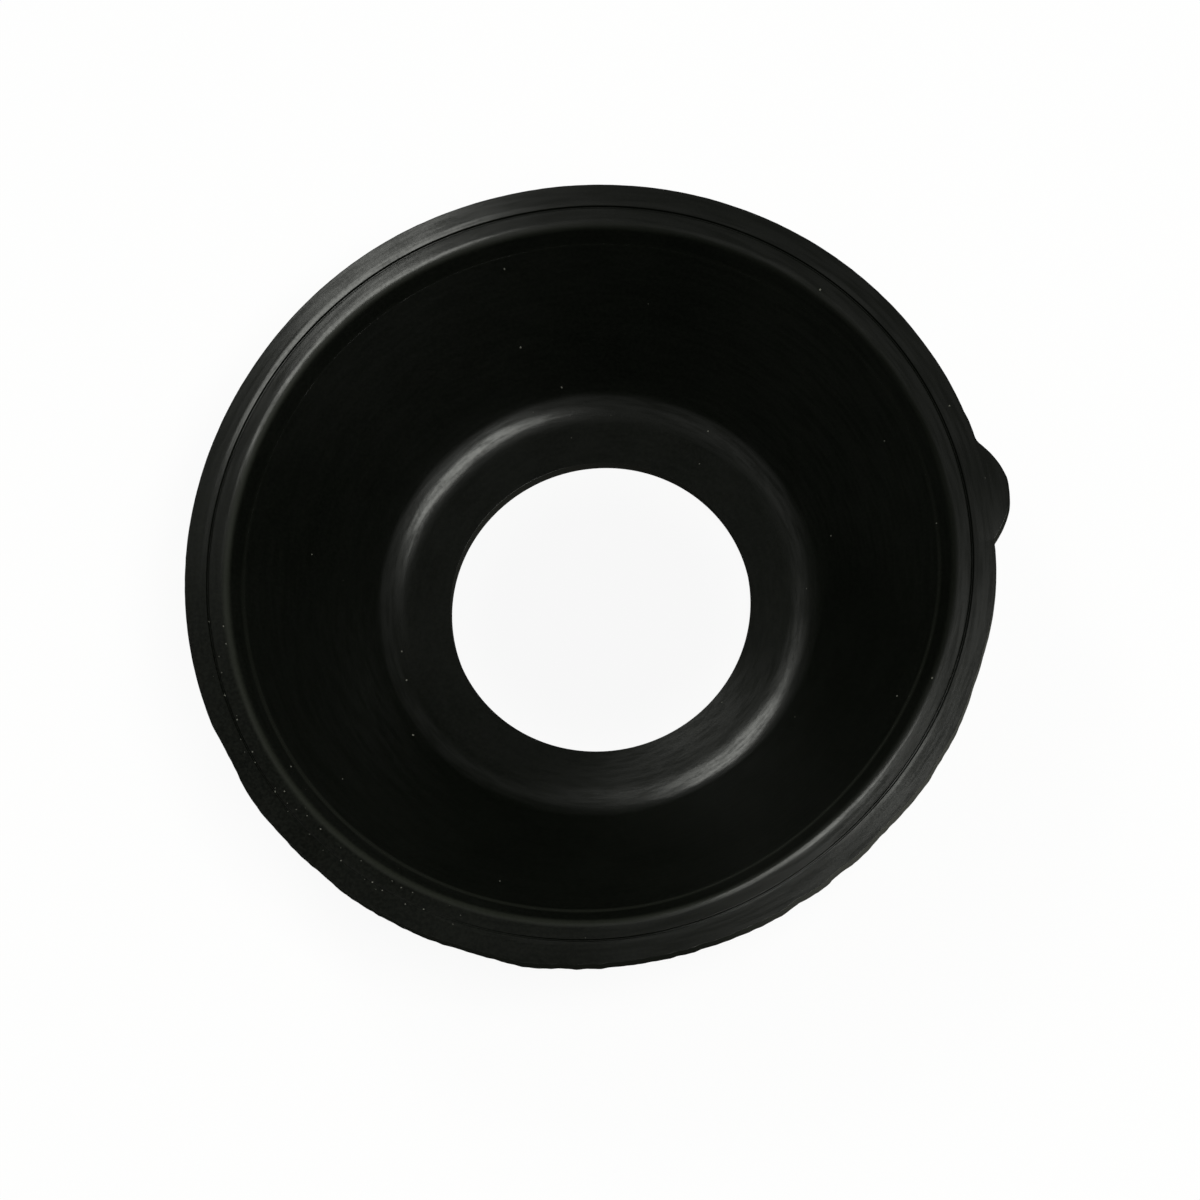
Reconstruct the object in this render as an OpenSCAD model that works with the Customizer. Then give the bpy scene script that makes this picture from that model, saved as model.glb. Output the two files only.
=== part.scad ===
// Carburettor slide diaphragm: one moulded rubber bowl with a clamped rim and a round bore.
// The bowl opens upwards. The origin is the centre of the bore, on the flat underside.

/* [Rim] */
// Outside diameter of the clamped rim
rim_d = 72; // [66:0.5:84]
// Thickness of the clamped rim
rim_t = 1.8; // [1.4:0.1:3]
// Width of the thick rim on the underside
rim_bead_w = 2.7; // [2:0.1:3.2]
// Width of the flat band outside the groove
rim_band_w = 1.85; // [1.4:0.05:2.2]
// How far the band's inner edge falls towards the groove
edge_fall = 0.04; // [0.01:0.01:0.15]
// Width of the band's falling inner edge
edge_w = 0.42; // [0.2:0.02:0.8]
// Width of the fine groove inside the band
groove_w = 0.22; // [0.15:0.01:0.4]
// Depth of the fine groove
groove_depth = 0.3; // [0.1:0.05:0.5]
// Width of the flat land between the groove and the shoulder
land_w = 0.93; // [0.4:0.01:1.5]

/* [Locating tab] */
// How far the tab stands out past the rim
tab_reach = 1.85; // [1:0.05:4]
// Radius of the tab's round end
tab_r = 6.1; // [4.5:0.1:9]
// Radius of the hollow corner on the tab's open side
tab_open_corner_r = 1.8; // [0.4:0.1:3]
// Radius of the hollow corner on the tab's tight side
tab_tight_corner_r = 0.3; // [0.2:0.1:3]

/* [Cone wall] */
// Depth of the bowl, from the rim's top face to the inner ring's top face
bowl_depth = 12.8; // [9:0.1:18]
// Thickness of the flexible wall
wall_t = 0.8; // [0.5:0.05:1.1]
// Radius of the rounded shoulder inside the rim
shoulder_r = 2.2; // [1.1:0.1:2.5]
// Slope of the short drop below the shoulder, in degrees
drop_slope = 43; // [30:1:55]
// Length of the short drop below the shoulder
drop_l = 0.5; // [0.3:0.05:2]
// How much flatter than the straight way down the wall starts, in degrees
wall_roll = 2; // [1:1:14]

/* [Inner ring] */
// Diameter of the bore that the slide passes through
bore_d = 27.4; // [20:0.1:32]
// Thickness of the flat inner ring
ring_t = 1.5; // [0.8:0.05:2]
// Width of the flat top of the inner ring
ring_w = 3.4; // [2:0.05:5]
// Radius of the hollow corner where the wall meets the inner ring
foot_r = 4.8; // [3:0.1:7.5]

/* [Hidden] */
$fn = 180;

// Straight steps in each curved stretch of the section
curve_steps = 12;

// Heights of the rim's and the inner ring's faces above the underside
rim_top_z = ring_t + bowl_depth;
rim_bottom_z = rim_top_z - rim_t;

// The bead reaches up into the sheet, halfway between its underside and the groove's bottom
bead_top_z = rim_top_z - (wall_t + groove_depth) / 2;

// Radii along the top of the rim, from the outside in
rim_r = rim_d / 2;
band_in_r = rim_r - rim_band_w;
groove_in_r = band_in_r - groove_w;
shoulder_out_r = groove_in_r - land_w;
bead_in_r = rim_r - rim_bead_w;

// Distance from the bore's axis to the centre of the tab's round end
tab_centre = rim_r + tab_reach - tab_r;

// Centre of the shoulder's arc, and the end of the drop below it
shoulder_c = [shoulder_out_r, rim_top_z - shoulder_r];
drop_normal = [sin(drop_slope), -cos(drop_slope)];
drop_start = shoulder_c - shoulder_r * drop_normal;
drop_end = drop_start - drop_l * [cos(drop_slope), sin(drop_slope)];

// Centre of the hollow corner at the foot of the wall
foot_c = [bore_d / 2 + ring_w, ring_t + foot_r];

// The wall is an arc that starts at the drop's end and runs smoothly into the hollow corner
foot_to_drop = drop_end - foot_c;
straight_slope = atan2(foot_to_drop[1], foot_to_drop[0]) + asin(foot_r / norm(foot_to_drop));
wall_start_slope = straight_slope - wall_roll;
wall_normal = [sin(wall_start_slope), -cos(wall_start_slope)];
wall_r = (foot_to_drop * foot_to_drop - foot_r * foot_r) / (2 * (foot_r - foot_to_drop * wall_normal));
wall_c = drop_end + wall_r * wall_normal;
wall_end_slope = atan2(wall_c[0] - foot_c[0], foot_c[1] - wall_c[1]);

// Point on a bulging arc of the top, where the surface has the given slope
function bulge_point(centre, radius, slope) = centre + radius * [-sin(slope), cos(slope)];

// Point on a hollow arc of the top, where the surface has the given slope
function hollow_point(centre, radius, slope) = centre + radius * [sin(slope), -cos(slope)];

// Fractions from 0 to 1 along a curved stretch
fractions = [for (i = [0:curve_steps]) i / curve_steps];

// Value at a fraction of the way from one number to another
function between(from, to, fraction) = from + (to - from) * fraction;

// Top of the section, from the rim's outer edge to the bore
top_points = concat(
    [
        [rim_r, rim_top_z],
        [band_in_r + edge_w, rim_top_z],
        [band_in_r, rim_top_z - edge_fall],
        [band_in_r - groove_w / 2, rim_top_z - groove_depth],
        [groove_in_r, rim_top_z],
    ],
    [for (f = fractions) bulge_point(shoulder_c, shoulder_r, between(0, drop_slope, f))],
    [for (f = fractions) bulge_point(wall_c, wall_r, between(wall_start_slope, wall_end_slope, f))],
    [for (f = fractions) if (f > 0) hollow_point(foot_c, foot_r, between(wall_end_slope, 0, f))],
    [[bore_d / 2, ring_t]]
);

// Underside of the section, from the bore to the rim's outer edge
under_points = concat(
    [[bore_d / 2, 0]],
    [
        for (f = fractions)
            hollow_point(foot_c, foot_r + between(ring_t, wall_t, f), between(0, wall_end_slope, f))
    ],
    [
        for (f = fractions) if (f > 0)
            bulge_point(wall_c, wall_r - wall_t, between(wall_end_slope, wall_start_slope, f))
    ],
    [
        for (f = fractions)
            bulge_point(shoulder_c, shoulder_r - wall_t, between(drop_slope, 0, f))
    ],
    [[rim_r, rim_top_z - wall_t]]
);

// The moulded bowl, turned about the bore's axis: a thin sheet, and a thick bead under its rim
module bowl() {
    rotate_extrude()
        union() {
            polygon(concat(top_points, under_points));
            translate([bead_in_r, rim_bottom_z])
                square([rim_bead_w, bead_top_z - rim_bottom_z]);
        }
}

// Outline of one hollow corner beside the tab: a triangle with the corner's circle cut out
module tab_corner(corner_r) {
    rim_to_corner = rim_r + corner_r;
    tab_to_corner = tab_r + corner_r;
    along = (rim_to_corner ^ 2 + tab_centre ^ 2 - tab_to_corner ^ 2) / (2 * tab_centre);
    corner_c = [along, sqrt(rim_to_corner ^ 2 - along ^ 2)];
    difference() {
        polygon([[0, 0], [tab_centre, 0], corner_c]);
        translate(corner_c)
            circle(r = corner_r);
    }
}

// The round tab that places the rim in its recess, as thick as the rim
module locating_tab() {
    translate([0, 0, rim_bottom_z])
        linear_extrude(rim_t)
            difference() {
                union() {
                    translate([tab_centre, 0])
                        circle(r = tab_r);
                    tab_corner(tab_open_corner_r);
                    mirror([0, 1])
                        tab_corner(tab_tight_corner_r);
                }
                circle(r = band_in_r + edge_w);
            }
}

// The whole diaphragm, moulded in one piece
module slide_diaphragm() {
    color([0.05, 0.05, 0.05])
        union() {
            bowl();
            locating_tab();
        }
}

slide_diaphragm();
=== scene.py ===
# %% [markdown]
# # A carburettor slide diaphragm
#
# This lesson dresses one moulded rubber part: a soft bowl with a thick clamped rim, a small locating
# tab, a thin flexible wall and a flat inner ring with a round bore. Almost everything that the eye
# reads on black rubber is a highlight, so the lesson spends its time on the section that catches the
# light, on the fine turned marks that the mould left, and on the dust that settles on rubber.

# %% Load the frame
import math

import bpy
from mathutils import Matrix, Vector, noise


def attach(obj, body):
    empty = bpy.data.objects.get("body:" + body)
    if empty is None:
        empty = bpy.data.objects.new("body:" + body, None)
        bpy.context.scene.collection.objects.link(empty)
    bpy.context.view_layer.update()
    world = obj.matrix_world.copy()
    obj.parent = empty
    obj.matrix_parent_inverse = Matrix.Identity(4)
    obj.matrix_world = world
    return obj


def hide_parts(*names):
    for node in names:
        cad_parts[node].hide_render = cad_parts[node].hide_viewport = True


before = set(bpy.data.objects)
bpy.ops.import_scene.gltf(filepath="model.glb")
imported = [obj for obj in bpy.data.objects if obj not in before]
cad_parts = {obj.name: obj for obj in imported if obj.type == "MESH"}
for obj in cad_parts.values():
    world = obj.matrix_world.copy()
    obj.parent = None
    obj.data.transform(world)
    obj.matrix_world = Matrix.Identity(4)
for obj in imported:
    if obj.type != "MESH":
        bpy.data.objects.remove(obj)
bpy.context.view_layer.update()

# %% [markdown]
# ## The sizes
#
# Rubber parts are drawn as a section that is turned about an axis, and that is how this one is made
# here too. The same few sizes that drive the solid model drive the mesh, so both have one shape. Only
# the wall's roll is a degree less, as a wall that hangs free is straighter. The sizes are written in
# millimetres and turned into metres once.

# %% Sizes in metres
MM = 0.001
RIM_R = 36 * MM
RIM_THICK = 1.8 * MM
BEAD_WIDTH = 2.7 * MM
BAND_WIDTH = 1.85 * MM
EDGE_FALL = 0.04 * MM
EDGE_WIDTH = 0.42 * MM
GROOVE_WIDTH = 0.22 * MM
GROOVE_DEPTH = 0.3 * MM
LAND_WIDTH = 0.93 * MM
BOWL_DEPTH = 12.8 * MM
WALL_THICK = 0.8 * MM
SHOULDER_R = 2.2 * MM
DROP_SLOPE = math.radians(43)
DROP_LENGTH = 0.5 * MM
WALL_ROLL = math.radians(1)
BORE_R = 13.7 * MM
RING_THICK = 1.5 * MM
RING_WIDTH = 3.4 * MM
FOOT_R = 4.8 * MM
RIM_TOP = RING_THICK + BOWL_DEPTH
RIM_BOTTOM = RIM_TOP - RIM_THICK
BAND_IN_R = RIM_R - BAND_WIDTH
FIXED_R = BAND_IN_R + EDGE_WIDTH
GROOVE_IN_R = BAND_IN_R - GROOVE_WIDTH
SHOULDER_OUT_R = GROOVE_IN_R - LAND_WIDTH
BEAD_IN_R = RIM_R - BEAD_WIDTH
DROP_END_R = SHOULDER_OUT_R - SHOULDER_R * math.sin(DROP_SLOPE) - DROP_LENGTH * math.cos(DROP_SLOPE)
print("rim top at", round(RIM_TOP / MM, 2), "mm, drop ends at radius", round(DROP_END_R / MM, 2), "mm")

# %% [markdown]
# ## The section
#
# A section could be drawn as one spline, but a spline drifts away from the arcs that a toolmaker cuts.
# Here each stretch is an arc or a straight line, and small radii round every edge, because a sharp
# edge catches no light and rubber never leaves a mould with one. The wall is a long arc that leaves
# the short drop below the shoulder and runs tangent into the hollow foot.
#
# A rim that isn't clamped doesn't lie flat: the stretched wall pulls it inwards, and its top leans
# about fifteen degrees into the bowl. That lean is what makes the band and the land catch the light,
# so the scene has it, while the outer edge stays where the solid model has it.

# %% Helpers for arcs and small radii
RIM_LEAN = math.radians(15.5)
# Where the point beside a small curve's end lies, as a share of the way from the corner to that end
BESIDE_END = 1.3


def polar(centre, radius, slope):
    """Point on a circle where the surface slopes by that angle: a negative radius gives a hollow arc."""
    return Vector((centre.x - radius * math.sin(slope), centre.y + radius * math.cos(slope)))


def arc(centre, radius, start, end, steps):
    """Points along an arc, from one slope to another."""
    return [polar(centre, radius, start + (end - start) * i / steps) for i in range(steps + 1)]


def rounded(before, corner, after, radius, steps=3):
    """A small curve in place of a sharp corner, with a point beside each end to hold the shading."""
    start = corner + (before - corner).normalized() * radius
    end = corner + (after - corner).normalized() * radius
    curve = [corner.lerp(start, BESIDE_END)]
    for i in range(steps + 1):
        t = i / steps
        curve.append(start * (1 - t) ** 2 + corner * (2 * t * (1 - t)) + end * t ** 2)
    return curve + [corner.lerp(end, BESIDE_END)]


def leaning(radius, height):
    """A point of the rim, lowered by the rim's lean."""
    return Vector((radius, height - (RIM_R - radius) * math.tan(RIM_LEAN)))


print("the rim's top leans", round(math.degrees(RIM_LEAN), 1), "degrees")

# %% Where the arcs of the section lie
land_end = leaning(SHOULDER_OUT_R, RIM_TOP)
shoulder_c = land_end + SHOULDER_R * Vector((math.sin(RIM_LEAN), -math.cos(RIM_LEAN)))
drop_start = polar(shoulder_c, SHOULDER_R, DROP_SLOPE)
drop_run = drop_start.x - DROP_END_R
drop_end = Vector((DROP_END_R, drop_start.y - drop_run * math.tan(DROP_SLOPE)))
bore_bottom = Vector((BORE_R, 0))
bore_top = Vector((BORE_R, RING_THICK))
ring_out = Vector((BORE_R + RING_WIDTH, RING_THICK))
foot_c = ring_out + Vector((0, FOOT_R))
foot_to_drop = drop_end - foot_c
straight = math.atan2(foot_to_drop.y, foot_to_drop.x) + math.asin(FOOT_R / foot_to_drop.length)
wall_start = straight - WALL_ROLL
wall_normal = Vector((math.sin(wall_start), -math.cos(wall_start)))
wall_r = (foot_to_drop.length_squared - FOOT_R ** 2) / (2 * (FOOT_R - foot_to_drop.dot(wall_normal)))
wall_c = drop_end + wall_r * wall_normal
wall_end = math.atan2(wall_c.x - foot_c.x, foot_c.y - wall_c.y)
print("wall slopes from", round(math.degrees(wall_start)), "to", round(math.degrees(wall_end)), "degrees")

# %% [markdown]
# The mould is made of inserts, and where two of them meet, below the shoulder, the rubber has a
# witness line: a ridge a few thousandths of a millimetre high. It is too small for the solid model, and
# a bump would lose it between pixels, but it draws a fine line all round the bowl, so the mesh has it as
# real geometry.

# %% The top of the section, from the outer edge to the wall
EDGE = 0.05 * MM
SOFT_EDGE = 0.1 * MM
GROOVE_EDGE = 0.06 * MM
WITNESS_HEIGHT = 0.004 * MM
WITNESS_WIDTH = 0.3 * MM
WITNESS_CREST = 0.35
WITNESS_FOOT_EDGE = 0.04 * MM
WITNESS_CREST_EDGE = 0.05 * MM
# Shares along a flat stretch where points are added, so that the shading stays even
FLAT_POINTS = (0.3, 0.6)


def rim_top():
    """The band, its falling edge, the groove and the land, from outside in."""
    outer_top = leaning(RIM_R, RIM_TOP)
    fall_start = leaning(FIXED_R, RIM_TOP)
    fall_end = leaning(BAND_IN_R, RIM_TOP - EDGE_FALL)
    groove_floor = leaning(BAND_IN_R - GROOVE_WIDTH / 2, RIM_TOP - GROOVE_DEPTH)
    groove_edge = leaning(GROOVE_IN_R, RIM_TOP)
    points = rounded(leaning(RIM_R, RIM_BOTTOM), outer_top, fall_start, EDGE)
    points += [outer_top.lerp(fall_start, share) for share in FLAT_POINTS]
    points += rounded(outer_top, fall_start, fall_end, SOFT_EDGE, steps=2)
    points += rounded(fall_start, fall_end, groove_floor, GROOVE_EDGE)
    points += [groove_floor]
    points += rounded(groove_floor, groove_edge, land_end, GROOVE_EDGE)
    points += [groove_edge.lerp(land_end, 0.6)]
    return points


def witness_line():
    """The small ridge where the drop meets the wall."""
    along = WITNESS_WIDTH / wall_r
    crest = polar(wall_c, wall_r + WITNESS_HEIGHT, wall_start + along * WITNESS_CREST)
    low = polar(wall_c, wall_r, wall_start + along)
    points = rounded(drop_start, drop_end, crest, WITNESS_FOOT_EDGE, steps=1)
    points += rounded(drop_end, crest, low, WITNESS_CREST_EDGE, steps=2)
    return points + [low]


print(len(rim_top()), "points over the rim,", len(witness_line()), "over the witness line")

# %% The whole section, over the top to the bore and back underneath
FINE_EDGE = 0.03 * MM
BEAD_CORNER = 0.2 * MM


def top_side():
    """From the outer edge over the rim, the shoulder, the wall and the foot to the bore's top edge."""
    points = rim_top()
    points += arc(shoulder_c, SHOULDER_R, RIM_LEAN, DROP_SLOPE, steps=8)
    points += [(drop_start + drop_end) / 2]
    points += witness_line()
    points += arc(wall_c, wall_r, wall_start, wall_end, steps=18)[1:]
    points += arc(foot_c, -FOOT_R, wall_end, 0, steps=18)[1:]
    points += [ring_out.lerp(bore_top, share) for share in FLAT_POINTS]
    return points + rounded(ring_out, bore_top, bore_bottom, FINE_EDGE)


def foot_underside(steps=10):
    """Under the hollow foot, where the thick ring grows thin towards the wall."""
    points = []
    for i in range(steps + 1):
        thick = RING_THICK + (WALL_THICK - RING_THICK) * i / steps
        points.append(polar(foot_c, -(FOOT_R + thick), wall_end * i / steps))
    return points


def underside():
    """From the bore's bottom edge back under the ring, the wall and the bead to the outer edge."""
    outer_bottom = leaning(RIM_R, RIM_BOTTOM)
    bead_bottom = leaning(BEAD_IN_R, RIM_BOTTOM)
    bead_top = leaning(BEAD_IN_R, RIM_TOP - WALL_THICK)
    points = rounded(bore_top, bore_bottom, ring_out, FINE_EDGE)
    points += [Vector((BORE_R + RING_WIDTH / 2, 0))]
    points += foot_underside()
    points += arc(wall_c, wall_r - WALL_THICK, wall_end, wall_start, steps=12)[1:]
    points += arc(shoulder_c, SHOULDER_R - WALL_THICK, DROP_SLOPE, RIM_LEAN, steps=5)
    points += rounded(land_end, bead_top, bead_bottom, BEAD_CORNER)
    points += rounded(bead_top, bead_bottom, outer_bottom, EDGE)
    points += [(bead_bottom + outer_bottom) / 2]
    return points + rounded(bead_bottom, outer_bottom, outer_bottom + Vector((0, RIM_THICK)), EDGE)


profile = top_side() + underside()
print(len(profile), "points round the section")

# %% [markdown]
# ## The outline of the rim
#
# Seen from above, the rim is a circle with one round tab. The tab's flanks run into the rim through
# hollow corners, a soft one on one side and a tight one on the other. The outline is written as a
# distance from the axis for each direction, so that one rule moves every point of the band, and the
# rubber inside the groove stays round. The tab goes on upwards much as the leaning rim does, so its tip
# stands a little higher than the rim.

# %% Distance from the axis to the rim's outer edge
TAB_REACH = 1.85 * MM
TAB_R = 6.1 * MM
TAB_CENTRE = RIM_R + TAB_REACH - TAB_R
OPEN_CORNER_R = 1.8 * MM
TIGHT_CORNER_R = 0.3 * MM
TAB_SLOPE = 0.2


def corner(radius):
    """How far a hollow corner's centre lies, its direction, and the direction where the tab's end stops."""
    far = RIM_R + radius
    from_tab = TAB_R + radius
    along = (far ** 2 + TAB_CENTRE ** 2 - from_tab ** 2) / (2 * TAB_CENTRE)
    angle = math.acos(along / far)
    centre = Vector((along, far * math.sin(angle)))
    touch = Vector((TAB_CENTRE, 0)).lerp(centre, TAB_R / from_tab)
    return far, angle, math.atan2(touch.y, touch.x)


def outline(angle):
    """Outer radius of the rim in a direction, where 0 is the middle of the tab."""
    side = math.remainder(angle, 2 * math.pi)
    radius = OPEN_CORNER_R if side > 0 else TIGHT_CORNER_R
    far, middle, touch = corner(radius)
    side = abs(side)
    if side < touch:
        across = TAB_CENTRE * math.sin(side)
        return TAB_CENTRE * math.cos(side) + math.sqrt(TAB_R ** 2 - across ** 2)
    if side < middle:
        across = far * math.sin(middle - side)
        return far * math.cos(middle - side) - math.sqrt(radius ** 2 - across ** 2)
    return RIM_R


print("tab tip at", round(outline(0) / MM, 2), "mm")

# %% [markdown]
# ## Trimmed by hand
#
# The flash round a moulded rim is cut away with scissors or a knife, and on this one the cuts show:
# shallow flats along one side of the rim, a few nicks, and stretches where a little flash is left. Each
# is a shallow hollow or bump over a few degrees, and the widest one leaves the band broader on that
# side. A noise pattern would be quicker to write, but it would wave evenly all round, and scissors
# don't. Only the raggedness of the cut itself, a few hundredths of a millimetre, is noise.
#
# A rim that lies free also bends and leans by a different amount in each direction. Those are smooth
# swells, each with a direction, half a width and how much it does in its middle.

# %% Cuts, and the soft way that a free rim bends
CUTS = [
    # direction in degrees, half its width in degrees, depth in mm (below zero is flash that was left)
    (4.5, 3.5, 0.12),
    (9.0, 3.0, -0.11),
    (16.0, 8.0, -0.06),
    (198.5, 5.0, 0.17),
    (207.0, 6.0, -0.07),
    (213.0, 5.0, 0.10),
    (215.0, 3.5, -0.09),
    (219.0, 5.0, 0.14),
    (232.0, 8.0, 0.05),
    (243.0, 5.0, 0.08),
    (252.5, 4.5, -0.22),
    (260.0, 4.0, -0.08),
    (271.0, 9.0, 0.07),
    (272.0, 60.0, -0.25),
    (279.5, 5.0, 0.08),
    (291.5, 3.0, 0.12),
    (298.5, 2.0, 0.14),
    (308.5, 5.0, 0.10),
    (319.0, 13.0, -0.17),
    (319.5, 2.5, 0.07),
    (331.0, 2.0, 0.04),
    (345.0, 9.0, -0.14),
    (354.0, 3.0, 0.09),
]
BENDS = [
    # direction in degrees, half its width in degrees, how far the rim bends inwards in mm
    (20, 40, -0.09),
    (116, 28, -0.15),
    (170, 42, 0.09),
    (255, 40, 0.14),
    (307, 44, 0.52),
]
LEANS = [
    # direction in degrees, half its width in degrees, how much more the rim leans inwards in degrees
    (112, 28, 0.6),
    (150, 35, -2.5),
    (225, 50, -5.0),
    (275, 40, -6.0),
    (308, 26, 2.2),
]
BAND_LEANS = [
    # the same for the band alone, outside the groove
    (105, 32, 2.0),
    (308, 26, -2.2),
]
# Height and length of the cut's raggedness, the side where it is strongest, and its least share elsewhere
RAGGED = 0.09 * MM
RAGGED_LENGTH = 0.8 * MM
RAGGED_SIDE = (265, 85)
RAGGED_LEAST = 0.2


def near(angle, direction, half_width):
    """How far a direction is from the middle of a stretch, as a share of half its width."""
    apart = math.remainder(angle - math.radians(direction), 2 * math.pi)
    return apart / math.radians(half_width)


def swell(angle, direction, half_width, most):
    """A value that rises smoothly to its most in one direction and is 0 beyond half the width."""
    share = near(angle, direction, half_width)
    return most * math.cos(share * math.pi / 2) ** 2 if abs(share) < 1 else 0


def trimmed(angle):
    """How much the scissors took off in a direction, in metres."""
    edge = Vector((math.cos(angle), math.sin(angle), 0)) * RIM_R / RAGGED_LENGTH
    taken = RAGGED * noise.noise(edge) * max(RAGGED_LEAST, 1 - near(angle, *RAGGED_SIDE) ** 2)
    for direction, half_width, depth in CUTS:
        share = near(angle, direction, half_width)
        if abs(share) < 1:
            taken += depth * MM * (1 - share ** 2)
    return taken


def bent(angle):
    """How far the free rim bends inwards in a direction, in metres."""
    return sum(swell(angle, *bend) for bend in BENDS) * MM


def extra_lean(angle, leans):
    """How much more than its usual slope the rim's top falls inwards in a direction."""
    lean = RIM_LEAN + math.radians(sum(swell(angle, *lean) for lean in leans))
    return math.tan(lean) - math.tan(RIM_LEAN)


print("deepest cut", round(max(trimmed(math.radians(t)) for t in range(360)) / MM, 2), "mm")

# %% [markdown]
# ## Turning the section into a mesh
#
# A Screw modifier would turn the section, but every turn would then be the same. Placing the points
# directly lets each direction have its own outline, and gives the tab and the trimmed side closer
# steps than the plain parts of the rim.

# %% The directions in which the section is repeated
TAB_SPAN = 12
TRIM_START = 190
TRIM_END = 336
TAB_STEP = 0.25
TRIM_STEP = 0.5
PLAIN_STEP = 1


def stretch(start, end, step):
    """Directions from one angle up to another, in steps close to the given one, in degrees."""
    count = round((end - start) / step)
    return [start + (end - start) * i / count for i in range(count)]


degrees = stretch(-TAB_SPAN, TAB_SPAN, TAB_STEP) + stretch(TAB_SPAN, TRIM_START, PLAIN_STEP)
degrees += stretch(TRIM_START, TRIM_END, TRIM_STEP) + stretch(TRIM_END, 360 - TAB_SPAN, PLAIN_STEP)
turns = [math.radians(t) for t in degrees]
print(len(turns), "turns of the section,", 2 * len(turns) * len(profile), "triangles")

# %% [markdown]
# The rest of the part isn't perfectly true either. The ring's top falls a few degrees towards the bore,
# and more on one side, because the free wall pulls its outer edge up there. Just above the hollow foot
# the thin wall hangs a little below its moulded shape, and slow waves a few hundredths of a millimetre
# high run over the whole part. All of this moves points of the mesh, where it costs nothing when the
# picture is made.

# %% How the free inner ring and the wall lie
RING_SLOPE = math.tan(math.radians(3.5))
# Where the ring slopes more: direction, half the width, and how much more in the middle
LIFT = (289, 58, math.tan(math.radians(7.5)))
# The slope holds out to the first radius and is gone at the second
SLOPED_TO_R = 16.6 * MM
LEVEL_FROM_R = 18.9 * MM
# The wall's sag: its depth, where it starts, and the distance over which half of it is reached
SAG = 0.18 * MM
SAG_FROM_R = 19.4 * MM
SAG_WIDTH = 0.9 * MM
# Where the wall is pulled taut: direction, half the width, and the share of the sag that is gone
TAUT = (292, 70, 0.6)
WAVE = 0.04 * MM
WAVE_LENGTH = 7 * MM


def lifted(radius):
    """Height that a slope of 1 at the ring's top gives at a radius. It is back at 0 where the drop ends."""
    if radius > LEVEL_FROM_R:
        highest = lifted(LEVEL_FROM_R)
        return highest * max(0, 1 - (radius - LEVEL_FROM_R) / (DROP_END_R - LEVEL_FROM_R))
    beyond = max(0, radius - SLOPED_TO_R)
    return radius - BORE_R - beyond ** 2 / (2 * (LEVEL_FROM_R - SLOPED_TO_R))


def ring_slope(angle):
    """Slope of the ring's top in a direction."""
    return RING_SLOPE + swell(angle, *LIFT)


def sagged(radius, angle):
    """How far the free wall hangs below its moulded shape, least on the side where it is pulled taut."""
    if not SAG_FROM_R < radius < DROP_END_R:
        return 0
    beyond = ((radius - SAG_FROM_R) / SAG_WIDTH) ** 2
    fades = (DROP_END_R - radius) / (DROP_END_R - SAG_FROM_R)
    return SAG * beyond / (1 + beyond) * fades * (1 - swell(angle, *TAUT))


def waved(x, y, radius):
    """Height of the slow waves, which are 0 at the bore."""
    across = min(1, (radius - BORE_R) / (DROP_END_R - BORE_R))
    return WAVE * noise.noise(Vector((x, y, 0)) / WAVE_LENGTH) * math.sin(math.pi * across * 0.5)


steepest = ring_slope(math.radians(LIFT[0]))
print("the foot is lifted up to", round(steepest * lifted(LEVEL_FROM_R) / MM, 2), "mm")

# %% How the free rim lies
# Where the groove is pressed closed and where the band's edge lies level, with the share that is gone
GROOVE_CLOSED = (228, 42, 0.75)
EDGE_LEVEL = (292, 60, 0.8)
# How far inside the land the extra lean starts, where the wall starts to bend, and the rim's stiffness
LEAN_GROWTH = 1 * MM
SOFT_FROM_R = 22 * MM
STIFFER = 0.4


def edge_rise(radius, height, angle):
    """How much a point near the groove rises where the groove is closed or the band's edge is level."""
    rise = 0
    if GROOVE_IN_R < radius < BAND_IN_R:
        rise += max(0, leaning(radius, RIM_TOP).y - height) * swell(angle, *GROOVE_CLOSED)
    if BAND_IN_R - FINE_EDGE < radius < FIXED_R:
        rise += EDGE_FALL * (FIXED_R - radius) / EDGE_WIDTH * swell(angle, *EDGE_LEVEL)
    return rise


def trimmed_point(radius, height, angle):
    """A point of the band, moved to the outline with its tab and its cuts."""
    share = (radius - FIXED_R) / (RIM_R - FIXED_R)
    taken = trimmed(angle) * share
    height += share * (outline(angle) - RIM_R) * TAB_SLOPE - taken * math.tan(RIM_LEAN)
    return FIXED_R + share * (outline(angle) - FIXED_R) - taken, height


def above(radius, start, end):
    """Height that a slope gains beyond a radius when it grows from 0 at the start to 1 at the end."""
    full = max(0, radius - end)
    growing = max(0, min(radius, end) - start)
    return full + growing ** 2 / (2 * (end - start))


def share_between(radius, start, end):
    """How far a radius lies between two others, from 0 to 1."""
    return max(0, min(1, (radius - start) / (end - start)))


def give(radius):
    """How freely the rubber bends inwards: not at all near the ring, and less in the rim again."""
    softness = share_between(radius, SOFT_FROM_R, DROP_END_R)
    stiffness = share_between(radius, SHOULDER_OUT_R, BAND_IN_R)
    return softness ** 2 * (1 - STIFFER * stiffness)


print("the rim bends up to", round(max(bent(t) for t in turns) * give(RIM_R) / MM, 2), "mm inwards")

# %% Build the diaphragm
# A face between two points of the section this close in radius stands upright
UPRIGHT = FINE_EDGE / 4


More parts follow.
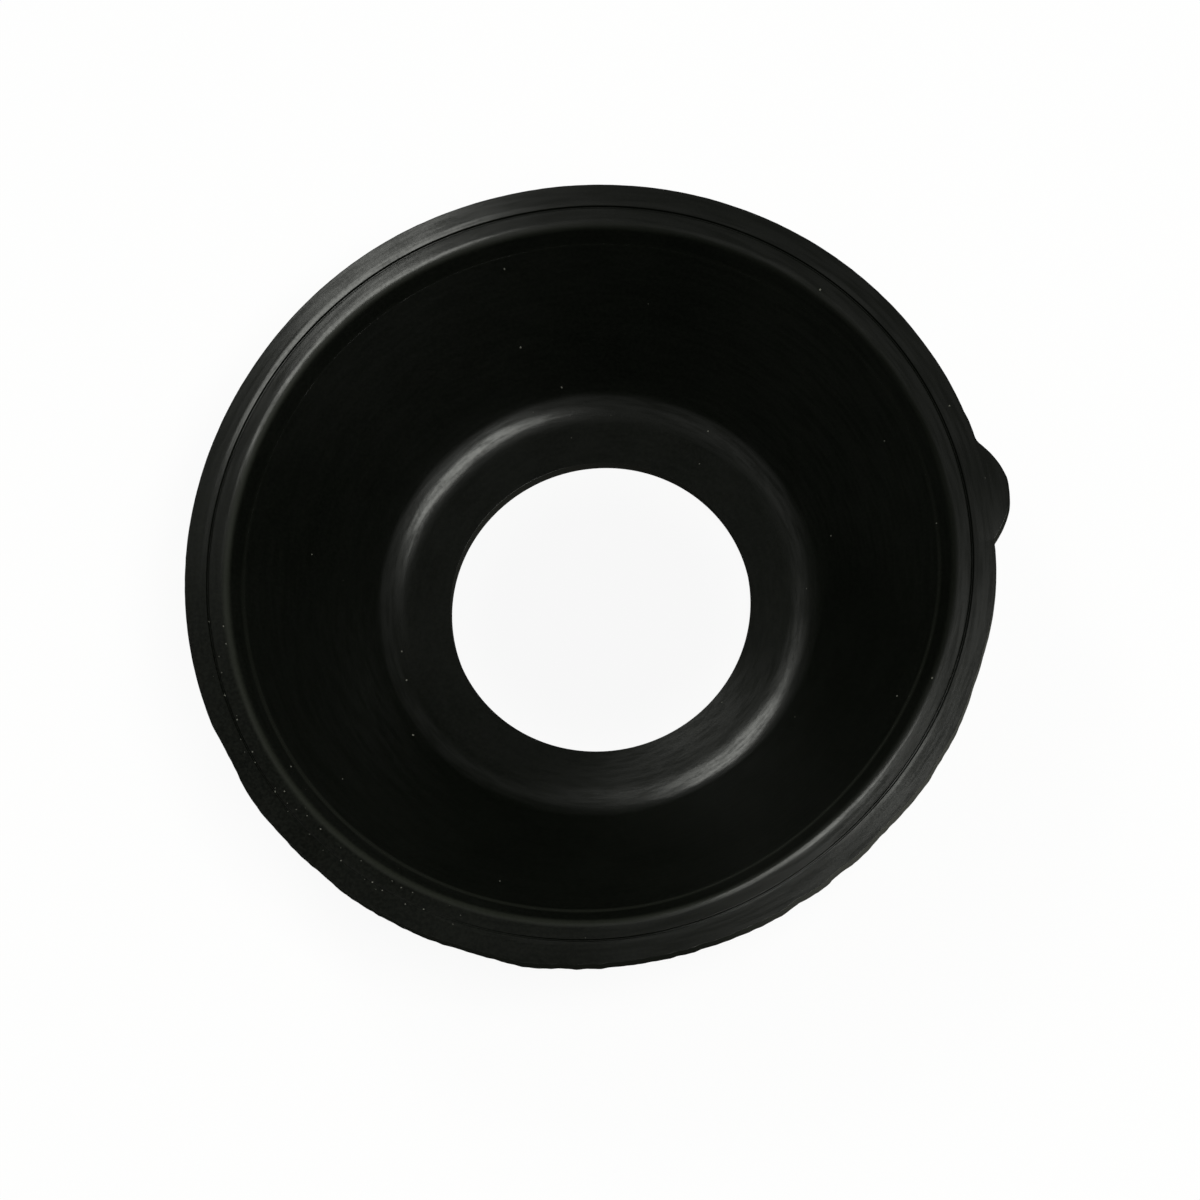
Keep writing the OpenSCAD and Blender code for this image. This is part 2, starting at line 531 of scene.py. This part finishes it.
def place(point, angle):
    """A point of the section, turned to a direction and moved to where the free rubber lies."""
    radius, height = point
    if height > RIM_BOTTOM:
        height += edge_rise(radius, height, angle)
    if radius > FIXED_R:
        radius, height = trimmed_point(radius, height, angle)
    height += extra_lean(angle, LEANS) * above(radius, SHOULDER_OUT_R - LEAN_GROWTH, SHOULDER_OUT_R)
    height += extra_lean(angle, BAND_LEANS) * above(radius, GROOVE_IN_R, BAND_IN_R)
    if height > RING_THICK / 2:
        height += ring_slope(angle) * lifted(radius)
    height -= sagged(radius, angle)
    radius -= bent(angle) * give(radius)
    x = radius * math.cos(angle)
    y = radius * math.sin(angle)
    return (x, y, height + waved(x, y, radius))


def build_diaphragm():
    """The diaphragm's mesh, closed all round. Faces of the two cut walls get the second material."""
    verts = [place(p, t) for t in turns for p in profile]
    count = len(profile)
    faces = []
    cut = []
    for i in range(len(turns)):
        here = i * count
        there = (i + 1) % len(turns) * count
        for j in range(count):
            k = (j + 1) % count
            faces.append((here + j, there + j, there + k, here + k))
            middle = (profile[j] + profile[k]) / 2
            upright = abs(profile[j].x - profile[k].x) < UPRIGHT
            at_edge = middle.x < BORE_R + FINE_EDGE or middle.x > RIM_R - FINE_EDGE
            cut.append(1 if upright and at_edge else 0)
    mesh = bpy.data.meshes.new("diaphragm_rubber")
    mesh.from_pydata(verts, [], faces)
    mesh.polygons.foreach_set("material_index", cut)
    moulded = mesh.attributes.new("moulded_radius", "FLOAT", "POINT")
    moulded.data.foreach_set("value", [p.x for _ in turns for p in profile])
    mesh.shade_smooth()
    piece = bpy.data.objects.new("diaphragm_rubber", mesh)
    bpy.context.scene.collection.objects.link(piece)
    return piece


diaphragm = build_diaphragm()
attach(diaphragm, "root")
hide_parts("slide_diaphragm")
print("diaphragm:", len(diaphragm.data.polygons), "faces")

# %% [markdown]
# ## Shader maths as Python
#
# Node graphs grow quickly when each sum is a node that is placed by hand. A small class that wraps a
# socket lets plain Python operators add the Math nodes, so the material reads as a formula.

# %% A socket that does arithmetic
class Flow:
    """An output socket of a node tree, with operators that add Math nodes."""

    def __init__(self, tree, socket):
        self.tree = tree
        self.socket = socket

    def node(self, kind, settings=None, **inputs):
        """Adds any node, its settings first. Inputs go by the socket's name, or by i and its place."""
        made = self.tree.nodes.new(kind)
        for name, value in (settings or {}).items():
            setattr(made, name, value)
        for name, value in inputs.items():
            key = int(name[1:]) if name[1:].isdigit() else name.replace("_", " ")
            if isinstance(value, Flow):
                self.tree.links.new(value.socket, made.inputs[key])
            else:
                made.inputs[key].default_value = value
        return made

    def out(self, kind, output, settings=None, **inputs):
        """Adds any node and gives one of its outputs as a flow."""
        return Flow(self.tree, self.node(kind, settings, **inputs).outputs[output])

    def math(self, operation, *values):
        """Adds a Math node."""
        inputs = {f"i{i}": value for i, value in enumerate(values)}
        return self.out("ShaderNodeMath", 0, {"operation": operation}, **inputs)

    def __add__(self, other):
        return self.math("ADD", self, other)

    def __radd__(self, other):
        return self.math("ADD", other, self)

    def __sub__(self, other):
        return self.math("SUBTRACT", self, other)

    def __rsub__(self, other):
        return self.math("SUBTRACT", other, self)

    def __mul__(self, other):
        return self.math("MULTIPLY", self, other)

    def __rmul__(self, other):
        return self.math("MULTIPLY", other, self)

    def __truediv__(self, other):
        return self.math("DIVIDE", self, other)

    def __lt__(self, other):
        return self.math("LESS_THAN", self, other)

    def between(self, low, high):
        """Rises from 0 to 1, smoothly, as the flow goes from the low value to the high one."""
        settings = {"interpolation_type": "SMOOTHSTEP"}
        return self.out("ShaderNodeMapRange", 0, settings, Value=self, From_Min=low, From_Max=high)


# %% Helpers that every material uses
def new_material(name):
    """An empty node material: the material, its tree as a flow, and its output node."""
    material = bpy.data.materials.new(name)
    material.use_nodes = True
    tree = material.node_tree
    tree.nodes.clear()
    output = tree.nodes.new("ShaderNodeOutputMaterial")
    return material, Flow(tree, None), output


def vector(x, y, z):
    """Three flows as one vector flow."""
    return x.out("ShaderNodeCombineXYZ", 0, None, X=x, Y=y, Z=z)


def cloud(place_at, scale, detail=1):
    """Noise from 0 to 1 at a vector flow."""
    return place_at.out("ShaderNodeTexNoise", 0, None, Vector=place_at, Scale=scale, Detail=detail)


def mixed(first, second, factor):
    """A colour between two colours."""
    made = factor.node("ShaderNodeMix", {"data_type": "RGBA"}, i0=factor)
    for place_at, colour in ((6, first), (7, second)):
        if isinstance(colour, Flow):
            factor.tree.links.new(colour.socket, made.inputs[place_at])
        else:
            made.inputs[place_at].default_value = (*colour, 1)
    return Flow(factor.tree, made.outputs[2])


class Spot:
    """The places that a surface pattern is read from, in metres: straight and turned about the axis."""

    def __init__(self, start):
        self.point = start.out("ShaderNodeTexCoord", "Object")
        parts = self.point.node("ShaderNodeSeparateXYZ", None, Vector=self.point)
        x, y = (Flow(start.tree, parts.outputs[i]) for i in range(2))
        self.radius = x.math("SQRT", x * x + y * y)
        self.moulded_radius = start.out("ShaderNodeAttribute", "Fac", {"attribute_name": "moulded_radius"})
        self.cos = x / self.radius
        self.sin = y / self.radius

    def turned(self, pitch, turn_scale):
        """Coordinates that change by 1 over the pitch across, and slowly round the axis."""
        return vector(self.radius * (1 / pitch), self.cos * turn_scale, self.sin * turn_scale)

    def towards(self, degrees):
        """1 in the given direction from the axis, 0 beside it and -1 opposite."""
        angle = math.radians(degrees)
        return self.cos * math.cos(angle) + self.sin * math.sin(angle)


print("shader helpers ready")

# %% [markdown]
# ## The marks of the mould
#
# Black rubber is almost black all over, and what tells it from plastic is a soft gloss broken by fine
# marks. The mould was turned on a lathe and then blasted, so its marks run round the axis and a grain
# covers them. They could be drawn, but noise that is read in turned coordinates gives them at once:
# fast across the radius, slow along the turn. Heights are real heights in metres, which keeps the bump
# honest: a mark three thousandths of a millimetre deep and a third of a millimetre wide tilts the
# surface by about a degree.

# %% Marks of the mould, as a height in metres
MARK_PITCH = 0.5 * MM
MARK_HEIGHT = 0.012 * MM
GRAIN_SIZE = 0.24 * MM
GRAIN_HEIGHT = 0.008 * MM


def mould_marks(spot):
    """The broad turned marks and the grain that the blasted mould left."""
    marks = cloud(spot.turned(MARK_PITCH, 6), 1)
    grain = cloud(spot.point, 1 / GRAIN_SIZE)
    return marks * MARK_HEIGHT + grain * GRAIN_HEIGHT


print("marks up to", round(MARK_HEIGHT / MM, 3), "mm high, grain up to", round(GRAIN_HEIGHT / MM, 3), "mm")

# %% [markdown]
# ## Handling and dust
#
# Static dust collects on rubber where nobody wipes. Its grains could be small meshes, but they would
# cost many faces, so they are cells of a Voronoi pattern: a random number per cell decides whether it
# holds a grain and how large it is, and a mask over the part decides how many there are. A real part
# carries fewer grains than one would think, so most cells stay empty. Fingers leave soft patches where
# the skin is duller. The shoulder's crest is painted paler, and a painted highlight runs along the
# witness line, strongest on the side where the tall lamp's highlights fall.

# %% Grains of dust
DUSTY_SIDE = 212
# Radii between which the crowded dust beside the groove begins, and between which it ends
DUST_STARTS = (32.7 * MM, 33.1 * MM)
DUST_ENDS = (34.3 * MM, 34.8 * MM)
# The smallest grain's size and the faintest one's strength, as shares of the most
SMALLEST = 0.3
FAINTEST = 0.3


def dust(spot, cell, share, largest):
    """A mask of grains: 1 on a grain. Share is the part of the cells that hold one, largest its radius."""
    tree = spot.point.tree
    settings = {"voronoi_dimensions": "2D"}
    cells = spot.point.node("ShaderNodeTexVoronoi", settings, Vector=spot.point, Scale=1 / cell)
    parts = spot.point.node("ShaderNodeSeparateXYZ", None, Vector=Flow(tree, cells.outputs["Color"]))
    distance = Flow(tree, cells.outputs["Distance"])
    chosen = Flow(tree, parts.outputs[0]) < share
    chance = Flow(tree, parts.outputs[1])
    size = chance * ((1 - SMALLEST) * largest / cell) + SMALLEST * largest / cell
    inside = (1 - distance / size).between(0, 0.6)
    return chosen * inside * (chance * (1 - FAINTEST) + FAINTEST)


def dust_grains(spot):
    """A few grains all over, and more of them on both sides of the groove on the rim's dusty side."""
    beside_groove = spot.radius.between(*DUST_STARTS) - spot.radius.between(*DUST_ENDS)
    crowd = spot.towards(DUSTY_SIDE).between(0.75, 1) * beside_groove
    few = dust(spot, cell=3.1 * MM, share=0.06, largest=0.12 * MM)
    many = dust(spot, cell=0.8 * MM, share=crowd * 0.34 + 0.001, largest=0.10 * MM)
    return few.math("MAXIMUM", few, many)


print("most dust at", DUSTY_SIDE, "degrees from the tab")

# %% Smudges, a paler crest and the witness line's painted highlight
# The witness line gets a painted highlight, strongest towards this side, where the tall lamp's highlights
# fall
WITNESS_HIGHLIGHT_SIDE = 262
WITNESS_HIGHLIGHT_R = DROP_END_R - 0.02 * MM
# Distances from the line at which the painted highlight starts to thin, and at which it is gone
WITNESS_HIGHLIGHT_WIDTH = (0.05 * MM, 0.26 * MM)
# The shoulder's crest is painted paler, most towards this side
PALE_CREST_SIDE = 190
# Radii between which the crest's paler colour begins, and between which it ends
PALE_CREST_STARTS = (32.0 * MM, 32.4 * MM)
PALE_CREST_ENDS = (32.5 * MM, 33.0 * MM)


def witness_painted_highlight(spot):
    """A painted highlight along the witness line below the shoulder, strongest where the tall lamp's
    highlights fall.
    """
    off = spot.moulded_radius - WITNESS_HIGHLIGHT_R
    near_line = 1 - off.math("ABSOLUTE", off).between(*WITNESS_HIGHLIGHT_WIDTH)
    return near_line * (spot.towards(WITNESS_HIGHLIGHT_SIDE).between(-0.5, 0.8) * 0.9 + 0.1)


def pale_shoulder_crest(spot):
    """A paler colour along the shoulder's crest, most of it on the side away from the tab."""
    crest = spot.moulded_radius.between(*PALE_CREST_STARTS) - spot.moulded_radius.between(*PALE_CREST_ENDS)
    return crest * (spot.towards(PALE_CREST_SIDE).between(-0.8, 0.7) * 0.6 + 0.15)


def smudges(spot):
    """Soft patches from 0 to 1 where the skin of the rubber is duller."""
    large = cloud(spot.point, 1 / (6 * MM))
    streaky = cloud(spot.turned(0.9 * MM, 5), 1)
    return (large * 0.7 + streaky * 0.3).between(0.3, 0.75)


print("powder at radius", round(WITNESS_HIGHLIGHT_R / MM, 2), "mm, wear from", round(PALE_CREST_STARTS[0] / MM, 2), "mm")

# %% [markdown]
# ## The rubber
#
# The gloss of moulded rubber has two parts: a broad weak sheen that reaches far from each highlight, and
# a clearer gloss in its middle. One glossy lobe can't be both, so the sheen is the shader's own and the
# clearer gloss is its coat, both with a low refraction, because rubber mirrors little. Only some inputs
# of the shader may change over a surface if the finish is to survive an export. The marks tilt the sheen,
# and the streaks that they draw in the clearer gloss are made with the coat's weight.

# %% Rubber material
SKIN = (0.0005, 0.0009, 0.0003)
# Pale colour for dust haze, smudges and the shoulder's crest, and for the painted highlight on the witness
# line
BLOOM_AND_HIGHLIGHT = (0.0130, 0.0144, 0.0110)
DUST = (0.11, 0.11, 0.095)
SHEEN_IOR = 1.155
GLOSS_IOR = 1.29
GLOSS_ROUGHNESS = 0.19
MOTTLE_SIZE = 0.3 * MM
STREAK_PITCH = 0.3 * MM


def rubber_material():
    """The moulded skin."""
    material, start, output = new_material("moulded_black_rubber")
    spot = Spot(start)
    patches = smudges(spot)
    grains = dust_grains(spot)
    rim_side = spot.towards(DUSTY_SIDE).between(-0.1, 1) * spot.radius.between(31 * MM, 33 * MM)
    mottle = cloud(spot.point, 1 / MOTTLE_SIZE, 2).between(0.3, 0.75)
    streaks = cloud(spot.turned(STREAK_PITCH, 7), 1, 2).between(0.35, 0.7)
    # Dust haze and smudges, then the painted highlight along the witness line and the paler shoulder crest
    bloom_and_highlight = (rim_side * 0.15 + 0.06) * mottle + patches * 0.03
    bloom_and_highlight = bloom_and_highlight + witness_painted_highlight(spot) * 0.45 + pale_shoulder_crest(spot)
    colour = mixed(mixed(SKIN, BLOOM_AND_HIGHLIGHT, bloom_and_highlight), DUST, grains)
    bump = start.out("ShaderNodeBump", 0, None, Height=mould_marks(spot), Distance=1.0, Strength=1.0)
    roughness = 0.35 + patches * 0.06 + mottle * 0.06 + grains * 0.4
    clean = 1 - (patches * 0.12 + mottle * 0.2 + streaks * 0.45 + grains * 0.3)
    settings = {"Base_Color": colour, "Roughness": roughness, "Coat_Weight": clean, "Normal": bump}
    shader = start.node("ShaderNodeBsdfPrincipled", None, **settings)
    shader.inputs["IOR"].default_value = SHEEN_IOR
    shader.inputs["Coat IOR"].default_value = GLOSS_IOR
    shader.inputs["Coat Roughness"].default_value = GLOSS_ROUGHNESS
    start.tree.links.new(shader.outputs[0], output.inputs["Surface"])
    return material


# %% [markdown]
# The outer edge was trimmed and the bore was punched, and a cut face of rubber is matt: it doesn't
# mirror the pale floor at a low angle, as the moulded skin would. It gets a material of its own, paler
# round the bore. On the outer edge it has painted light on the side that faces the long lamp, uneven
# where the blade tore it.

# %% Material of the cut faces
# The side of the outer cut edge that faces the long lamp, where light is painted on
LAMP_LIT_CUT_SIDE = 318
CUT_DARK = (0.011, 0.012, 0.010)
CUT_PALE_AND_LIT = (0.082, 0.082, 0.074)
TORN_SIZE = 0.3 * MM
TORN_HEIGHT = 0.02 * MM
PUNCHED = 0.3
CUT_ROUGHNESS = 0.8


def cut_material():
    """Rubber that was cut with a blade."""
    material, start, output = new_material("cut_black_rubber")
    spot = Spot(start)
    torn = cloud(spot.point, 1 / TORN_SIZE, 2)
    # Painted light: the outer cut edge is lighter on the side that faces the long lamp, unevenly along the
    # tear
    side = spot.towards(LAMP_LIT_CUT_SIDE).between(0.66, 1) * spot.radius.between(BORE_R, RIM_R)
    punched = (spot.radius < 2 * BORE_R) * PUNCHED
    colour = mixed(CUT_DARK, CUT_PALE_AND_LIT, side * side * (torn * 0.5 + 0.6) + punched)
    bump = start.out("ShaderNodeBump", 0, None, Height=torn * TORN_HEIGHT, Distance=1.0, Strength=1.0)
    shader = start.node("ShaderNodeBsdfPrincipled", None, Base_Color=colour, Normal=bump)
    shader.inputs["Roughness"].default_value = CUT_ROUGHNESS
    shader.inputs["Specular IOR Level"].default_value = 0
    start.tree.links.new(shader.outputs[0], output.inputs["Surface"])
    return material


diaphragm.data.materials.append(rubber_material())
diaphragm.data.materials.append(cut_material())
print("materials:", [m.name for m in diaphragm.data.materials])

# %% [markdown]
# ## The camera
#
# The photograph looks down into the bowl, a little from the tab's tight side. A camera could be placed
# by eye, but here it is set from what the ellipses of the rim and the bore show: how far the bowl leans,
# how it is turned, where the middle of the rim lies and how large the rim is. That way every line of
# the part falls where the photograph has it.

# %% Camera
PHOTO_SIZE = 1200
RIM_MIDDLE = (586.3, 563.6)
RIM_RADIUS_PX = 407.2
VIEW_LEAN = math.radians(17.94)
VIEW_TURN = math.radians(17.71)
TAB_TURN = math.radians(7.55)
DISTANCE = 12 * RIM_R
SENSOR = 36.0


def view_axes():
    """From the camera's axes to the frame's. Its rows are the frame's axes as the camera has them."""
    across = Vector((math.cos(VIEW_TURN), math.sin(VIEW_TURN), 0))
    level = Vector((-math.sin(VIEW_TURN), math.cos(VIEW_TURN), 0))
    away = level * math.cos(VIEW_LEAN) - Vector((0, 0, math.sin(VIEW_LEAN)))
    up = across.cross(away)
    to_tab = across * math.cos(TAB_TURN) - away * math.sin(TAB_TURN)
    beside = across * math.sin(TAB_TURN) + away * math.cos(TAB_TURN)
    return Matrix((to_tab, beside, up))


def make_camera():
    """A camera whose view of the rim matches the photograph."""
    to_world = view_axes()
    scale = RIM_R / RIM_RADIUS_PX
    right = (RIM_MIDDLE[0] - PHOTO_SIZE / 2) * scale
    above_middle = (PHOTO_SIZE / 2 - RIM_MIDDLE[1]) * scale
    rim_from_camera = Vector((right, above_middle, -DISTANCE))
    data = bpy.data.cameras.new("camera")
    data.sensor_width = SENSOR
    data.lens = SENSOR * DISTANCE / (PHOTO_SIZE * scale)
    data.clip_start = DISTANCE / 20
    data.clip_end = DISTANCE * 20
    camera = bpy.data.objects.new("camera", data)
    place_at = to_world @ -rim_from_camera + Vector((0, 0, RIM_TOP))
    camera.matrix_world = Matrix.Translation(place_at) @ to_world.to_4x4()
    bpy.context.scene.collection.objects.link(camera)
    bpy.context.scene.camera = camera
    print("camera at", [round(c, 3) for c in place_at], "lens", round(data.lens, 1))


make_camera()

# %% [markdown]
# ## The floor
#
# The floor is a pale matt sheet that the camera sees as nearly white, with a soft shadow. It could be lit
# until it is white, but then the rubber would be lit too much, so it shines by itself for the camera
# alone. Under the bore it is dark to all but the camera, because light from there would brighten the
# cut wall of the bore.

# %% Floor
FLOOR_HALF = 1.5
FLOOR_GAP = 0.02 * MM
FLOOR_DARK = (0.02, 0.02, 0.02)
FLOOR_PALE = (0.8, 0.8, 0.8)
DARK_TO_R = 0.6 * BORE_R
PALE_FROM_R = 1.6 * BORE_R
SEEN_WHITE = 0.93


def floor_material():
    """A pale matt sheet, dark under the bore, that the camera sees as nearly white."""
    material, start, output = new_material("pale_floor")
    under = Spot(start).radius.between(DARK_TO_R, PALE_FROM_R)
    sheet = mixed(FLOOR_DARK, FLOOR_PALE, under)
    matt = start.node("ShaderNodeBsdfPrincipled", None, Base_Color=sheet, Roughness=1.0)
    matt.inputs["Specular IOR Level"].default_value = 0
    white = start.node("ShaderNodeEmission", None, Color=(1, 1, 1, 1), Strength=1.0)
    seen = start.out("ShaderNodeLightPath", "Is Camera Ray")
    mix = start.node("ShaderNodeMixShader", None, Fac=seen * SEEN_WHITE)
    start.tree.links.new(matt.outputs[0], mix.inputs[1])
    start.tree.links.new(white.outputs[0], mix.inputs[2])
    start.tree.links.new(mix.outputs[0], output.inputs["Surface"])
    return material


def make_floor():
    """A large pale floor just under the object."""
    mesh = bpy.data.meshes.new("floor")
    corners = [(x * FLOOR_HALF, y * FLOOR_HALF, 0) for x, y in ((-1, -1), (1, -1), (1, 1), (-1, 1))]
    mesh.from_pydata(corners, [], [(0, 1, 2, 3)])
    mesh.materials.append(floor_material())
    floor = bpy.data.objects.new("floor", mesh)
    bpy.context.scene.collection.objects.link(floor)
    floor.location.z = -FLOOR_GAP
    print("floor", 2 * FLOOR_HALF, "m wide,", round(FLOOR_GAP / MM, 2), "mm under the bowl")


make_floor()

# %% [markdown]
# ## The light
#
# Two soft boxes light the bowl from opposite sides. A long one hangs high, to the right of the camera,
# and draws the bright arcs on the far side of every hollow, and a tall one stands lower across the bowl
# and draws those on the near side. Sun lamps would be simpler, but their highlights would be hard lines,
# and soft gloss needs a large source. Between the boxes the sky is dim, which keeps the wall dark.

# %% Lights
LAMP_DISTANCE = 0.7
LIGHT_TINT = (0.985, 1.0, 0.94)


def pointing(tilt, direction):
    """The unit vector from the bowl to a place in the sky: its tilt from overhead and its direction."""
    tilt = math.radians(tilt)
    direction = math.radians(direction)
    level = math.sin(tilt)
    return Vector((level * math.cos(direction), level * math.sin(direction), math.cos(tilt)))


def soft_box(name, tilt, direction, half_wide, half_high, roll, brightness):
    """A lamp that looks at the bowl. Its place, half sizes and roll are degrees, as seen from the bowl."""
    wide = 2 * LAMP_DISTANCE * math.tan(math.radians(half_wide))
    high = 2 * LAMP_DISTANCE * math.tan(math.radians(half_high))
    data = bpy.data.lights.new(name, "AREA")
    data.shape = "RECTANGLE"
    data.size = wide
    data.size_y = high
    data.energy = brightness * math.pi * wide * high
    data.color = LIGHT_TINT
    lamp = bpy.data.objects.new(name, data)
    towards = pointing(tilt, direction)
    lamp.location = towards * LAMP_DISTANCE
    lamp.rotation_mode = "QUATERNION"
    rolled = Matrix.Rotation(math.radians(roll), 3, "Z").to_quaternion()
    lamp.rotation_quaternion = towards.to_track_quat("Z", "Y") @ rolled
    bpy.context.scene.collection.objects.link(lamp)
    level = brightness * wide * high * towards.z / LAMP_DISTANCE ** 2 / math.pi
    print(name, round(data.energy, 1), "W, level", round(level, 2))


soft_box("long_box", tilt=20.5, direction=325, half_wide=15, half_high=9, roll=-10, brightness=14)
soft_box("tall_box", tilt=55, direction=110.5, half_wide=6.2, half_high=11.5, roll=-12, brightness=11.5)

# %% [markdown]
# The world is a dim sky with a brighter belt halfway up, as a room with pale walls has. The camera looks
# in at a slant, and the belt is tipped too, so that every side of the bowl mirrors it at about the same
# slope. Soft round patches do the rest: one beside each lamp, one high up on the side away from the tab,
# and two broad faint ones low down. They give the rim and the foot their faint lines on the sides that
# neither lamp reaches.

# %% World
SKY = 0.028
BELT = 0.36
BELT_TIP = (0.09, 0.16)
# Heights between which the belt begins and ends, from 0 at the horizon to 1 overhead
BELT_FOOT = (0.48, 0.75)
BELT_TOP = (0.78, 0.90)
GLOWS = [
    # tilt from overhead, direction, radius where it ends, radius where it is full (degrees), strength
    (26, 322, 30, 12, 0.35),
    (42, 118, 20, 6, 1.3),
    (33, 187, 27, 6, 0.40),
    (74, 185, 48, 15, 0.06),
    (78, 38, 42, 15, 0.05),
]


def glow(towards, tilt, direction, end, full, strength):
    """A soft round patch in the sky."""
    middle = pointing(tilt, direction)
    along = towards[0] * middle.x + towards[1] * middle.y + towards[2] * middle.z
    return along.between(math.cos(math.radians(end)), math.cos(math.radians(full))) * strength


def make_world():
    """A dim sky with a soft belt and soft patches of light."""
    world = bpy.data.worlds.new("studio")
    world.use_nodes = True
    tree = world.node_tree
    start = Flow(tree, None)
    sky_at = start.out("ShaderNodeTexCoord", "Generated")
    parts = sky_at.node("ShaderNodeSeparateXYZ", None, Vector=sky_at)
    towards = [Flow(tree, parts.outputs[i]) for i in range(3)]
    height = towards[2] + towards[0] * BELT_TIP[0] + towards[1] * BELT_TIP[1]
    light = (height.between(*BELT_FOOT) - height.between(*BELT_TOP)) * BELT + SKY
    for patch in GLOWS:
        light = light + glow(towards, *patch)
    background = tree.nodes["Background"]
    background.inputs["Color"].default_value = (*LIGHT_TINT, 1)
    tree.links.new(light.socket, background.inputs["Strength"])
    bpy.context.scene.world = world


make_world()
bpy.context.scene.view_settings.view_transform = "Standard"
print("a belt and", len(GLOWS), "patches in the sky")
